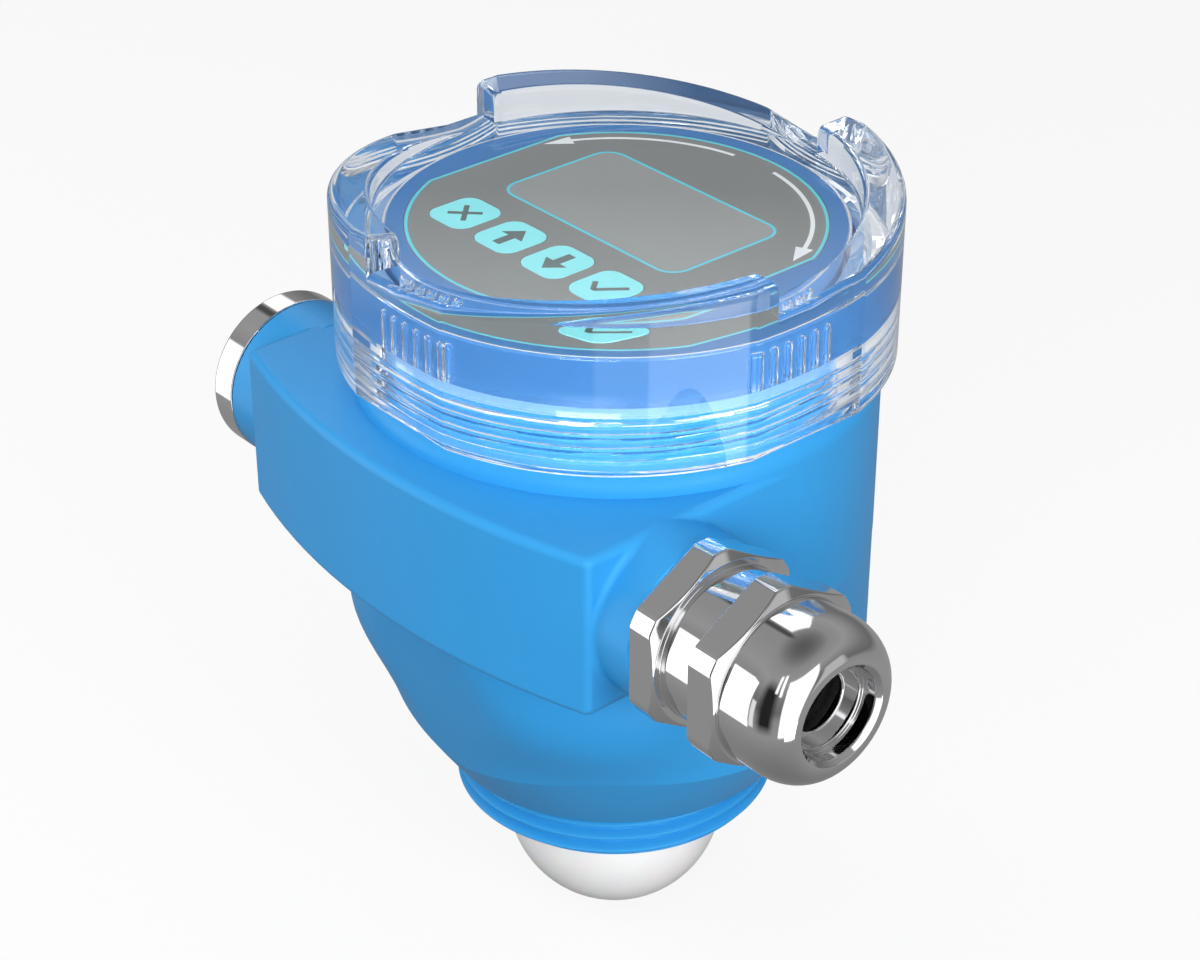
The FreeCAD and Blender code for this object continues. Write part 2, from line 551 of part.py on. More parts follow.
gland = fuse([hex_bar(*HEX1), rod(ENTRY_R, BOSS_FACE - ENTRY_L, BOSS_FACE), rod(WAIST_R, HEX1[1], HEX2[0] - 0.4),
              rod(ENTRY_R, HEX2[0] - PAST, BODY_END)])
gland = gland.cut(rod(THROAT_R, BOSS_FACE - ENTRY_L - PAST, BODY_END))
gland = gland.cut(rod(BODY_BORE, SEAL_START, BODY_END + PAST))
save("gland_body", gland)
save("gland_oring", ring(CORD_R, CORD, V(BOSS_FACE - CORD, GLAND_Y, GLAND_Z), X))
save("gland_seal", turned_x([(SEAL_START, CABLE_R), (SEAL_START, BODY_BORE - RUN), (SEAL_FACE, BODY_BORE - RUN),
                             (SEAL_FACE, CABLE_R)]))
save("clamp_ring", turned_x([
    (SEAL_FACE, CLAMP_BORE), (SEAL_FACE, CLAMP_R), (CLAMP_END, CLAMP_R), (CLAMP_END, CLAMP_BORE)]))
dome_x = NUT_END - DOME_DEPTH
dome_nut = fuse([hex_bar(*HEX2), turned_x(
    [(NUT_END, DOME_FACE_R), (NUT_END, 0), (HEX2[0], 0), (HEX2[0], DOME_R), (dome_x, DOME_R)],
    curve=[(dome_x + CIRCLE * DOME_DEPTH, DOME_R),
           (NUT_END, DOME_FACE_R + CIRCLE * (DOME_R - DOME_FACE_R))])])
dome_nut = dome_nut.cut(turned_x([
    (HEX2[0] - PAST, 0), (HEX2[0] - PAST, ENTRY_R + RUN), (SEAL_FACE - FIT, ENTRY_R + RUN),
    (SEAL_FACE - FIT, CLAMP_R + RUN), (CLAMP_END, CLAMP_R + RUN), (CLAMP_END, MOUTH_STEP_R),
    (CLAMP_END + 1.4, MOUTH_STEP_R), (CLAMP_END + 1.4, MOUTH_R), (NUT_END - 0.6, MOUTH_R),
    (NUT_END + 0.2, MOUTH_R + 0.9), (NUT_END + 0.2, 0)]))
save("dome_nut", dome_nut)

# Blanking plug in the other entry

PLUG_R = 12.2
PLUG_T = 4.6
PLUG_EDGE = 0.5
PLUG_TIP = 0.8
KEY_AF, KEY_DEPTH = 10.0, 5.0
f = -BOSS_FACE
tip = f + ENTRY_L - PAST
plug = turned_x([
    (tip, 0), (tip, ENTRY_R - PLUG_TIP), (tip - PLUG_TIP, ENTRY_R), (f, ENTRY_R), (f, PLUG_R),
    (f - PLUG_T + PLUG_EDGE, PLUG_R), (f - PLUG_T, PLUG_R - PLUG_EDGE), (f - PLUG_T, 0)])
socket = hexagon(f - PLUG_T - PAST, KEY_AF, 0).extrude(V(KEY_DEPTH + PAST, 0, 0))
save("blanking_plug", plug.cut(socket))
save("plug_oring", ring(CORD_R, CORD, V(f + CORD, GLAND_Y, GLAND_Z), X))
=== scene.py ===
# %% [markdown]
# A radar level sensor, dressed around its frame
# The frame holds every solid piece of the sensor at its real size: a blue moulded
# housing, a clear screw lid over a display, a plated cable gland and a white lens.
# This lesson gives those pieces their finish and adds what the solids leave out,
# such as the threads, the rounded glassy lid and the print round the display.

# %% Load the frame
import json
import math

import bmesh
import bpy
import numpy as np
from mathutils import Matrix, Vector


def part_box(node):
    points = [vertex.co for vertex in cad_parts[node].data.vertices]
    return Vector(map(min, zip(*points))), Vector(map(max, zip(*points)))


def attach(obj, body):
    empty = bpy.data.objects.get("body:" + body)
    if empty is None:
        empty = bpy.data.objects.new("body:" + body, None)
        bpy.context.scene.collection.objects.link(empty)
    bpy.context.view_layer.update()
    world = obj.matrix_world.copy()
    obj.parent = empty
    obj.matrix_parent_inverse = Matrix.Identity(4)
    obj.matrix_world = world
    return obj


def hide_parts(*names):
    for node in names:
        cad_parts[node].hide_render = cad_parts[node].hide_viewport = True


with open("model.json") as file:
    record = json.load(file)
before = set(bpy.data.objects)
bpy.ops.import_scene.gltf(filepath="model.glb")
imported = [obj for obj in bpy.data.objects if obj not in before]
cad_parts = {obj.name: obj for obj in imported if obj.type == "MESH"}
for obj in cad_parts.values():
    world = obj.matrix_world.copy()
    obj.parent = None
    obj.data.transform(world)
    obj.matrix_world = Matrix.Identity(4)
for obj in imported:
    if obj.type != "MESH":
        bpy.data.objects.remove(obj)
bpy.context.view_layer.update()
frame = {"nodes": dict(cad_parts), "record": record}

MM = 0.001
nodes = frame["nodes"]

# %% [markdown]
# The camera stands where the photographer's did: above the front right corner,
# looking down at about thirty degrees. A long lens far away keeps the verticals
# nearly upright. Setting the rotation from a compass angle and a pitch is easier to
# read, and to correct, than a target that the camera tracks.

# %% Camera
CAMERA_AT = (257.2, -224.6, 245.4)      # mm
COMPASS = 49.25                         # degrees that the view turns from +Y towards -X
PITCH = 30.85                           # degrees below the horizon
LENS = 83.1                             # mm, on a 36 mm sensor

lens_data = bpy.data.cameras.new("portrait_lens")
lens_data.lens = LENS
lens_data.sensor_width = 36
camera = bpy.data.objects.new("portrait_camera", lens_data)
camera.location = [v * MM for v in CAMERA_AT]
camera.rotation_euler = (math.radians(90 - PITCH), 0, math.radians(COMPASS))
lens_data.clip_start = 0.01
bpy.context.scene.collection.objects.link(camera)
bpy.context.scene.camera = camera
print("camera", round(math.dist(CAMERA_AT, (0, 0, 45))), "mm from the middle of the sensor")

# %% [markdown]
# Shader maths reads best as maths. This small class wraps one socket, so that
# 1 - mask * 0.5 adds the three Math nodes it needs. A Finish is a material with one
# method that adds any other node: settings first, then the inputs by name or number.

# %% A socket that can be used in sums
class Wire:
    """One output of a node. Sums with numbers or other wires add Math nodes."""

    def __init__(self, finish, socket):
        self.finish = finish
        self.socket = socket

    def maths(self, operation, *others):
        values = {i: v for i, v in enumerate(others)}
        return self.finish.node("ShaderNodeMath", values, operation=operation)

    def __add__(self, other):
        return self.maths("ADD", self, other)

    def __radd__(self, other):
        return self.maths("ADD", other, self)

    def __sub__(self, other):
        return self.maths("SUBTRACT", self, other)

    def __rsub__(self, other):
        return self.maths("SUBTRACT", other, self)

    def __mul__(self, other):
        return self.maths("MULTIPLY", self, other)

    def __rmul__(self, other):
        return self.maths("MULTIPLY", other, self)

    def over(self, limit):
        return self.maths("GREATER_THAN", self, limit)


class Finish:
    """A material, or the room round the sensor, made of nodes."""

    def __init__(self, name, holder=None):
        self.holder = holder or bpy.data.materials.new(name)
        self.holder.use_nodes = True
        self.tree = self.holder.node_tree
        self.tree.nodes.clear()

    def node(self, kind, values=None, out=0, stops=None, **settings):
        """Adds a node, its settings before its inputs, and gives the output that out names."""
        made = self.tree.nodes.new(kind)
        for key, value in settings.items():
            setattr(made, key, value)
        if stops:
            ramp = made.color_ramp
            while len(ramp.elements) < len(stops):
                ramp.elements.new(1)
            for element, (place, colour) in zip(ramp.elements, stops):
                element.position = place
                element.color = (*colour, 1)
        for key, value in (values or {}).items():
            if isinstance(value, Wire):
                self.tree.links.new(value.socket, made.inputs[key])
            else:
                made.inputs[key].default_value = value
        return Wire(self, made.outputs[out]) if made.outputs else None

    def place(self):
        return self.node("ShaderNodeTexCoord", out="Object")

    def noise(self, scale, detail=2.0, where=None):
        """Noise in object space; scale is in bumps for each metre."""
        return self.node("ShaderNodeTexNoise", {
            "Vector": where or self.place(), "Scale": scale, "Detail": detail}, out=0)

    def blend(self, amount, first, second):
        """A colour between first and second."""
        return self.node("ShaderNodeMix", {0: amount, 6: first, 7: second}, out=2, data_type="RGBA")

    def bump(self, height, depth, strength):
        """A normal from a height between 0 and 1 that stands for depth metres."""
        return self.node("ShaderNodeBump", {
            "Height": height, "Distance": depth, "Strength": strength})

    def surface(self, **sockets):
        """The Principled shader, with underscores for the spaces in its sockets' names."""
        values = {key.replace("_", " "): value for key, value in sockets.items()}
        return self.node("ShaderNodeBsdfPrincipled", values)

    def finish(self, shader):
        self.node("ShaderNodeOutputMaterial", {"Surface": shader})
        return self.holder


def srgb(r, g, b):
    """A colour in the shader's linear numbers from screen values of 0 to 255."""
    linear = [((c / 255 + 0.055) / 1.055) ** 2.4 for c in (r, g, b)]
    return (*linear, 1.0)


# %% [markdown]
# The housing is glass-filled plastic, moulded in blue and left satin. Up close such a
# wall isn't perfectly even: the mould gives it a fine grain, and the colour drifts a
# little. Two noises do that, one for the grain's bump and one for the drift.

# %% Moulded blue, white and black plastics
DRIFT = 0.03                            # share by which a moulding's colour drifts
GRAIN = 0.00001                         # depth of the mould's grain, in metres


def moulded(name, colour, roughness=0.38):
    """Satin plastic: the colour drifts slowly, and a fine grain breaks the gloss."""
    f = Finish(name)
    slow = f.noise(60, 2)
    fine = f.noise(2500, 3)
    darker = tuple(c * (1 - DRIFT) for c in colour[:3]) + (1.0,)
    lighter = tuple(min(1.0, c * (1 + DRIFT)) for c in colour[:3]) + (1.0,)
    return f.finish(f.surface(
        Base_Color=f.blend(slow, darker, lighter),
        Roughness=roughness - 0.05 + 0.1 * fine,
        Specular_IOR_Level=0.35,
        Normal=f.bump(fine, GRAIN, 0.5)))


SHELL_BLUE = srgb(50, 152, 218)
CARRIER_BLUE = srgb(60, 122, 184)
blue_shell = moulded("blue_shell", SHELL_BLUE)
blue_carrier = moulded("blue_carrier", CARRIER_BLUE, roughness=0.3)
black_plastic = moulded("black_plastic", srgb(38, 39, 42), roughness=0.45)
terminal_grey = moulded("terminal_grey", srgb(120, 126, 130), roughness=0.5)
print("plastics:", blue_shell.name, blue_carrier.name, black_plastic.name, terminal_grey.name)

# %% [markdown]
# The lens is pressed from white fluoroplastic. Light goes a little way into it, so its
# shadows stay soft and pale. A small share of subsurface light gives that.

# %% White lens
f = Finish("white_lens")
cloud = f.noise(120, 3)
white_lens = f.finish(f.surface(
    Base_Color=f.blend(cloud, srgb(240, 240, 240), srgb(248, 248, 248)),
    Roughness=0.3 + 0.08 * cloud,
    Subsurface_Weight=0.25,
    Subsurface_Scale=0.004,
    Normal=f.bump(f.noise(3000, 2), 0.000005, 0.4)))
print("lens:", white_lens.name)

# %% [markdown]
# Nickel-plated brass is a mirror with a slightly warm grey. What tells it from a
# drawing of a mirror is that it is never quite clean or flat: turning leaves faint
# rings, and handling leaves cloudy patches where the mirror is a little duller.

# %% Plated metal
RING_DEPTH = 0.0000012                  # metres


def plated_metal(name, colour, roughness, axis=0, lines=9000.0):
    """Bright metal with turning rings at right angles to the axis and faint cloudy patches."""
    f = Finish(name)
    along = f.node("ShaderNodeSeparateXYZ", {0: f.place()}, out=axis)
    rings = f.node("ShaderNodeTexNoise", {"W": along, "Scale": lines, "Detail": 2.0},
                   noise_dimensions="1D")
    patches = f.noise(160, 3)
    return f.finish(f.surface(
        Base_Color=f.blend(patches, tuple(c * 0.97 for c in colour[:3]) + (1.0,), colour),
        Metallic=1.0,
        Roughness=roughness + 0.05 * patches * patches,
        Normal=f.bump(rings, RING_DEPTH, 0.6)))


plated = plated_metal("plated", srgb(232, 232, 233), roughness=0.04)
steel = plated_metal("steel", srgb(190, 190, 192), roughness=0.28, axis=2, lines=4000.0)
brass = plated_metal("brass", srgb(214, 184, 120), roughness=0.22, axis=2, lines=5000.0)
aluminium = plated_metal("aluminium", srgb(205, 207, 210), roughness=0.3, axis=2, lines=6000.0)
print("metals:", plated.name, steel.name, brass.name, aluminium.name)

# %% [markdown]
# Rubber is dull, and its colour is darker where its pores sink in: painted shade in the pores. The
# circuit boards carry a green resist
# over copper tracks: a grid of thin lines, switched on and off by noise, is enough to
# suggest them on pieces that the lid mostly hides.

# %% Rubber, boards, ribbon
def rubber(name, colour):
    """Dull rubber whose colour is darker where its pores sink in: painted shade in the pores."""
    f = Finish(name)
    pores = f.noise(4000, 3)
    return f.finish(f.surface(
        # painted shade: the colour falls to 0.8 where the pores' bump is low
        Base_Color=f.blend(pores, tuple(c * 0.8 for c in colour[:3]) + (1.0,), colour),
        Roughness=0.7 + 0.2 * pores,
        Normal=f.bump(pores, 0.00002, 0.6)))


def circuit_board(name):
    """Green resist; copper tracks run where a coarse noise and a fine wave agree."""
    f = Finish(name)
    wave = f.node("ShaderNodeTexWave", {"Vector": f.place(), "Scale": 260.0}, out="Fac",
                  wave_type="BANDS", bands_direction="DIAGONAL")
    tracks = wave.over(0.7) * f.noise(110, 0).over(0.5)
    return f.finish(f.surface(
        Base_Color=f.blend(tracks, srgb(20, 92, 52), srgb(46, 128, 74)),
        Roughness=0.35 - 0.1 * tracks,
        Normal=f.bump(tracks, 0.00003, 0.5)))


seal_rubber = rubber("seal_rubber", srgb(18, 18, 19))
lid_gasket = rubber("lid_gasket", srgb(120, 170, 220))
board_green = circuit_board("board_green")
cable_ribbon = moulded("cable_ribbon", srgb(196, 140, 60), roughness=0.35)
print("soft and printed:", seal_rubber.name, lid_gasket.name, board_green.name, cable_ribbon.name)

# %% [markdown]
# The faceplate is a printed foil: an even grey with a very fine pearl texture. The
# keys and the line work are a bright cyan ink, and the arrows are white.

# %% Foil and inks
def foil(name, colour, roughness=0.42):
    """Printed foil: a pearl texture, and a colour that is a little uneven."""
    f = Finish(name)
    pearl = f.noise(6000, 1)
    slow = f.noise(80, 1)
    darker = tuple(c * 0.95 for c in colour[:3]) + (1.0,)
    return f.finish(f.surface(
        Base_Color=f.blend(0.35 * pearl + 0.3 * slow, darker, colour),
        Roughness=roughness + 0.08 * pearl,
        Specular_IOR_Level=0.4,
        Normal=f.bump(pearl, 0.000003, 0.3)))


face_grey = foil("face_grey", srgb(134, 135, 134))
lcd_pane = foil("lcd_pane", srgb(156, 157, 156), roughness=0.3)
key_cyan = foil("key_cyan", srgb(150, 246, 250))
line_cyan = foil("line_cyan", srgb(96, 214, 232))
arrow_white = foil("arrow_white", srgb(245, 246, 246))
key_ink = foil("key_ink", srgb(92, 108, 110))
print("foils:", face_grey.name, lcd_pane.name, key_cyan.name, line_cyan.name, arrow_white.name)

# %% [markdown]
# The lid is clear polycarbonate with a breath of blue. Glass in Cycles blocks the lamps'
# direct light, so what lies under it would go dark and noisy. For shadow rays only, the
# material turns into a nearly clear film, and the camera still sees real refraction.

# %% Clear lid
LID_TINT = (0.965, 0.985, 1.0, 1.0)
f = Finish("clear_lid")
ripple = f.noise(90, 1)
glass = f.surface(
    Base_Color=f.blend(ripple, LID_TINT, (0.98, 0.99, 1.0, 1.0)),
    Roughness=0.0, IOR=1.5, Transmission_Weight=1.0,
    Normal=f.bump(ripple, 0.00002, 0.15))
film = f.node("ShaderNodeBsdfTransparent", {"Color": (0.92, 0.96, 0.98, 1.0)})
lamp_ray = f.node("ShaderNodeLightPath", out="Is Shadow Ray")
clear_lid = f.finish(f.node("ShaderNodeMixShader", {0: lamp_ray, 1: glass, 2: film}))
print("lid:", clear_lid.name)

# %% [markdown]
# Every solid in the frame names the slot of its finish in the record. One table from
# slot to material dresses them all, the hidden ones too.

# %% Dress the solids
MATERIALS = {
    "blue_shell": blue_shell, "blue_carrier": blue_carrier, "clear_lid": clear_lid,
    "white_lens": white_lens, "plated": plated, "seal_rubber": seal_rubber,
    "lid_gasket": lid_gasket, "face_grey": face_grey, "key_cyan": key_cyan,
    "lcd_pane": lcd_pane, "board_green": board_green, "black_plastic": black_plastic,
    "steel": steel, "brass": brass, "aluminium": aluminium,
    "terminal_grey": terminal_grey, "cable_ribbon": cable_ribbon,
}
for part in frame["record"]["subparts"]:
    mesh = nodes[part["node"]].data
    mesh.materials.clear()
    mesh.materials.append(MATERIALS[part["material_slot"]])

# %% [markdown]
# New pieces are grids of points: one index runs round an axis, the other along a
# profile. The helper joins neighbours into quads, closes poles by merging points that
# coincide, and turns the faces outwards by the sign of the enclosed volume.

# %% From a grid of points to a piece
def piece(name, points, material, body, close_rows=True, close_columns=True, sharp=32.0):
    """Makes a mesh from points[row, column], in mm; rows run along the profile."""
    rows, columns = points.shape[:2]
    i = np.arange(rows if close_rows else rows - 1)[:, None]
    j = np.arange(columns if close_columns else columns - 1)[None, :]
    i2, j2 = (i + 1) % rows, (j + 1) % columns
    quads = np.stack([i * columns + j, i2 * columns + j, i2 * columns + j2, i * columns + j2], -1)
    mesh = bpy.data.meshes.new(name)
    mesh.from_pydata(points.reshape(-1, 3) * MM, [], quads.reshape(-1, 4).tolist())
    return finish_piece(name, mesh, material, body, sharp)


def finish_piece(name, mesh, material, body, sharp=32.0):
    """Merges doubles, turns faces outwards, smooths all but sharp edges, and sets the body."""
    shape = bmesh.new()
    shape.from_mesh(mesh)
    bmesh.ops.remove_doubles(shape, verts=shape.verts, dist=1e-6)
    bmesh.ops.dissolve_degenerate(shape, edges=shape.edges, dist=1e-7)
    if shape.calc_volume(signed=True) < 0:
        bmesh.ops.reverse_faces(shape, faces=shape.faces)
    shape.to_mesh(mesh)
    shape.free()
    mesh.materials.append(material)
    mesh.shade_smooth()
    mesh.set_sharp_from_angle(angle=math.radians(sharp))
    made = bpy.data.objects.new(name, mesh)
    bpy.context.scene.collection.objects.link(made)
    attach(made, body)
    print(name, len(mesh.polygons), "faces")
    return made


# %% [markdown]
# The lid carries the most work. Seen from above it is a circle cut by four flats. Its
# rim has four ribs that rise like ramps from the window's level to a blunt face, where
# the next ramp starts, so that fingers push against them. Inside there is a thread.
# One grid makes it: for each angle round the axis, a closed profile whose outer radius,
# rib height and thread follow formulas of that angle. The window rests on the faceplate
# and the bore on the carrier, a hair inside them, because two faces of glass with a thin
# gap between them would send a ray back and forth until it ran out and turned black.

# %% Sizes of the lid
LID_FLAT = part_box("lid")[1].x / MM      # axis to a flat
LID_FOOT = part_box("lid")[0].z / MM
LID_R = LID_FLAT + 1.2                  # the round stretches between the flats
WINDOW_TOP = 84.5
CONTACT = 0.02                          # how far the lid dips into what it rests on
WINDOW_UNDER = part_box("faceplate")[1].z / MM - CONTACT
RIB_INSIDE = 33.3
RIB_RISE = 5.3
RIB_SWEEP = 81.0                        # degrees from a rib's foot to its blunt face
RIB_FOOT_AT = -90.0                     # where the first rib starts
CARRIER_R = 32.0
LID_BORE = CARRIER_R - CONTACT
THREADED_BORE = 35.6
SEAL_R, SEAL_TOP, LEDGE = 34.45, 73.55, 72.4
THREAD_PITCH = 2.0
THREAD_DEPTH = 0.75
print("lid:", LID_FLAT, LID_R, LID_FOOT)


def ridge(height, angle, pitch, width=0.5):
    """Height of a screw's ridge, 0 to 1: a bump that climbs one pitch for each turn."""
    phase = height / pitch - angle / (2 * np.pi)
    wave = 0.5 + 0.5 * np.cos(2 * np.pi * phase)
    return np.clip((wave - (1 - width)) / width, 0, 1) ** 0.8


# %% [markdown]
# The carrier has groups of upright grip ribs, one group in the middle of each quarter.
# The bore leaves a round-ended pocket for each of them, so that the glass doesn't cut
# through them. Pockets are narrow, so the grid gets closer columns beside each one.

# %% Pockets for the carrier's grip ribs
GRIPS, GRIP_STEP, GRIP_TOP = 6, 4.3, 77.8       # ribs in a group, degrees, mm
POCKET_R = 0.85
HALF_POCKET = np.array([0.3, 0.6, 0.85, 0.96, 1.0, 1.08])
POCKET_STEPS = np.concatenate([-HALF_POCKET[::-1], [0], HALF_POCKET])


def grip_places():
    """Degrees of one group of grip ribs; the group repeats on every quarter of the carrier."""
    return GRIP_STEP * (np.arange(GRIPS) - (GRIPS - 1) / 2)


def pocket(a, z):
    """Radius of the lid's bore: the carrier's, and round each grip rib a round-ended groove.

    The groove reaches sqrt(pocket^2 - aside^2 - above^2) beyond the carrier, where aside is
    the distance along the bore from the rib's middle and above the height over its top.
    """
    near = (np.degrees(a) + 45) % 90 - 45
    aside = np.min(np.abs(near[:, None] - grip_places()), 1) * math.radians(1) * CARRIER_R
    reach = np.sqrt(np.clip(POCKET_R ** 2 - aside ** 2 - max(z - GRIP_TOP, 0) ** 2, 0, None))
    return LID_BORE + reach


# %% Angles of the lid's columns
def lid_angles():
    """Even steps round the lid, with closer ones at the flats' edges and at the blunt faces."""
    even = np.linspace(0, 90, 60, endpoint=False)
    aside = np.degrees(POCKET_R * POCKET_STEPS / CARRIER_R)
    near_grips = (grip_places()[:, None] - RIB_FOOT_AT % 90 + aside).ravel() % 90
    edge = math.degrees(math.acos(LID_FLAT / LID_R))
    near_flats = [place + off for place in (edge, 90 - edge) for off in (-0.35, 0.0, 0.35)]
    near_blunt = RIB_SWEEP - np.array([1.5, 1.1, 0.8, 0.5, 0.3, 0.14, 0.04, 0.0, -0.05, -0.3])
    spots = np.unique(np.round(np.concatenate([even, near_flats, near_blunt, near_grips]), 4))
    return np.radians(np.concatenate([spots + RIB_FOOT_AT + 90 * k for k in range(4)]))


# %% Build the lid
RIB_MIDDLE_R = 36.0
BLUNT_EDGE = 0.8                        # rounding of a rib's upper edge at the blunt face


def lid_surface():
    """Profile rows for every angle.

    Outer radius = the smaller of the circle and flat distance / cos(angle from the flat).
    Rib height = slope * radius * sin(angle from the foot), cut off at the blunt face,
    whose upper edge is rounded by a quarter circle.
    """
    a = lid_angles()
    from_flat = (a + np.pi / 4) % (np.pi / 2) - np.pi / 4
    outer = np.minimum(LID_R, LID_FLAT / np.cos(from_flat))
    local = np.degrees(a - math.radians(RIB_FOOT_AT)) % 90
    slope = RIB_RISE / (LID_R * math.sin(math.radians(RIB_SWEEP)))
    on_rib = (local <= RIB_SWEEP + 0.001).astype(float)
    to_blunt = np.radians(RIB_SWEEP - local) * RIB_MIDDLE_R
    short = np.clip(BLUNT_EDGE - to_blunt, 0, BLUNT_EDGE) * on_rib
    rounding = BLUNT_EDGE - np.sqrt(BLUNT_EDGE ** 2 - short ** 2)

    def height(r):
        return on_rib * np.maximum(slope * r * np.sin(np.radians(local)) - rounding, 0)

    rows = []

    def row(r, z):
        rows.append((r + 0 * a, z + 0 * a))

    foot, soft, top_soft = LID_FOOT, 0.5, 1.1
    row(THREADED_BORE + 0.5, foot)
    row(outer - soft - 0.1, foot)
    for q in np.radians(np.linspace(-90, 0, 5)):
        row(outer - soft + soft * np.cos(q), foot + soft + soft * np.sin(q))
    row(outer, foot + soft + 0.1)
    for share in (0.3, 0.6):
        row(outer, foot + (WINDOW_TOP - foot) * share)
    crown = WINDOW_TOP + height(outer)
    row(outer, crown - top_soft - 0.1)
    for q in np.radians(np.linspace(0, 90, 7)):
        r = outer - top_soft + top_soft * np.cos(q)
        row(r, WINDOW_TOP + height(r) - top_soft + top_soft * np.sin(q))
    inner_soft = np.clip(height(RIB_INSIDE) * 0.45, 0.005, 0.7)
    r = outer - top_soft - 0.1
    row(r, WINDOW_TOP + height(r))
    r = RIB_INSIDE + inner_soft + 0.1
    row(r, WINDOW_TOP + height(r))
    for q in np.radians(np.linspace(90, 180, 6)):
        r = RIB_INSIDE + inner_soft + inner_soft * np.cos(q)
        row(r, WINDOW_TOP + height(r) - inner_soft + inner_soft * np.sin(q))
    cove = 0.35
    wall = np.minimum(height(RIB_INSIDE), 1.0)
    row(RIB_INSIDE, WINDOW_TOP + (height(RIB_INSIDE) - inner_soft) * 0.5 + 0.5 * cove * wall)
    for q in np.radians(np.linspace(0, -90, 4)):
        row(RIB_INSIDE - cove + cove * np.cos(q), WINDOW_TOP + (cove + cove * np.sin(q)) * wall)
    for r in (RIB_INSIDE - cove - 0.1, 22.0, 10.0, 0.0):
        row(r, WINDOW_TOP)
    inner = 0.6
    for r in (0.0, 10.0, 22.0, LID_BORE - inner - 0.1):
        row(r, WINDOW_UNDER)
    for q in np.radians(np.linspace(90, 0, 6)):
        row(LID_BORE - inner + inner * np.cos(q), WINDOW_UNDER - inner + inner * np.sin(q))
    row(LID_BORE, WINDOW_UNDER - inner - 0.1)
    for rise in np.sqrt(1 - np.linspace(0, 1, 7) ** 2):
        row(pocket(a, GRIP_TOP + POCKET_R * rise), GRIP_TOP + POCKET_R * rise)
    row(pocket(a, SEAL_TOP), SEAL_TOP)
    row(SEAL_R, SEAL_TOP)
    row(SEAL_R, LEDGE)
    row(THREADED_BORE, LEDGE)
    for z in np.linspace(LEDGE - 0.1, foot + 0.6, 62):
        fade = np.clip(min((LEDGE - 0.4 - z) / 0.6, (z - foot - 0.5) / 0.6), 0, 1)
        row(THREADED_BORE - THREAD_DEPTH * fade * ridge(z, a, THREAD_PITCH), z)
    row(THREADED_BORE, foot + 0.5)
    r, z = np.array(rows).transpose(1, 0, 2)
    return np.stack([r * np.cos(a), r * np.sin(a), z], -1)


lid_glass = piece("lid_glass", lid_surface(), clear_lid, "lid", sharp=34)
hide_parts("lid")

# %% [markdown]
# The neck under the lid is moulded in the housing and carries the matching thread. A
# thin sleeve over the neck holds its ridges, half a pitch away from the lid's, so that
# the two mesh and the lid can be screwed off without touching.

# %% Neck thread
NECK_R = THREADED_BORE - 1.0
NECK_TOP = 71.8
turns = np.linspace(0, 2 * np.pi, 288, endpoint=False)


def neck_surface():
    """A sleeve whose outer radius is the neck's plus the ridge, shifted by half a turn."""
    low, high = LID_FOOT + 0.4, NECK_TOP - 0.5
    rows = [(NECK_R - 0.3 + 0 * turns, low + 0 * turns)]
    for z in np.linspace(low, high, 56):
        fade = np.clip(min((high - z) / 0.6, (z - low) / 0.6), 0, 1)
        reach = THREAD_DEPTH * fade * ridge(z, turns + np.pi, THREAD_PITCH)
        rows.append((NECK_R + 0.02 + reach, z + 0 * turns))
    rows.append((NECK_R - 0.3 + 0 * turns, high + 0 * turns))
    r, z = np.array(rows).transpose(1, 0, 2)
    return np.stack([r * np.cos(turns), r * np.sin(turns), z], -1)


piece("neck_thread", neck_surface(), blue_shell, "base", sharp=50)

# %% [markdown]
# The process connection is a turned nose with a pipe thread of 11 turns to the inch.
# The solid is plain at the thread's full radius. Its replacement keeps every inner
# step and cuts the thread with its rounded roots, and a relief under the collar.

# %% Threaded nose
NOSE_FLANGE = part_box("process_connection")[1].x / MM
NOSE_R = NOSE_FLANGE - 0.6              # the thread's full radius
NOSE_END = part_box("process_connection")[0].z / MM
NOSE_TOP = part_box("process_connection")[1].z / MM
PIPE_PITCH = 25.4 / 11
PIPE_DEPTH = 1.45
RELIEF_R = 22.2
LENS_BORE = 14.6
NOSE_SEAT = 1.5
NOSE_NECK = 20.95
CORD_GROOVE = 19.35                     # the groove of the O-ring
CORD_TOP = NOSE_SEAT + 1.8


def nose_surface():
    """Radius = root + depth * ridge; the ridge fades at the nose's end and at the relief."""
    rows = []

    def row(r, z):
        rows.append((r + 0 * turns, z + 0 * turns))

    for r, z in [(LENS_BORE, NOSE_END), (RELIEF_R + 0.3, NOSE_END)]:
        row(r, z)
    for z in np.linspace(NOSE_END + 0.02, -0.95, 84):
        end = np.clip((z - NOSE_END) / 0.9, 0, 1)
        start = np.clip((-0.95 - z) / 0.45, 0, 1)
        crest = RELIEF_R + (NOSE_R - RELIEF_R) * np.minimum(end * 0.9 + 0.1, start)
        root = NOSE_R - PIPE_DEPTH
        cut = root + PIPE_DEPTH * ridge(z, turns, PIPE_PITCH, 0.85)
        row(np.minimum(crest, cut), z)
    for r, z in [(RELIEF_R, -0.9), (RELIEF_R, -0.02), (NOSE_FLANGE, 0.0),
                 (NOSE_FLANGE, NOSE_SEAT), (CORD_GROOVE, NOSE_SEAT), (CORD_GROOVE, CORD_TOP),
                 (NOSE_NECK, CORD_TOP), (NOSE_NECK, NOSE_TOP), (LENS_BORE, NOSE_TOP)]:
        row(r, z)
    r, z = np.array(rows).transpose(1, 0, 2)
    return np.stack([r * np.cos(turns), r * np.sin(turns), z], -1)


threaded_nose = piece("threaded_nose", nose_surface(), blue_shell, "base", sharp=40)
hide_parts("process_connection")

# %% [markdown]
# The gland and the blanking plug are turned from bar. A surface of turning is a profile
# swept round the axis, and where a spanner grips, the profile's radius depends on the
# angle. Real edges are never razor sharp, and their small roundings catch the light, so
# each corner of a profile is softened by a short curve.

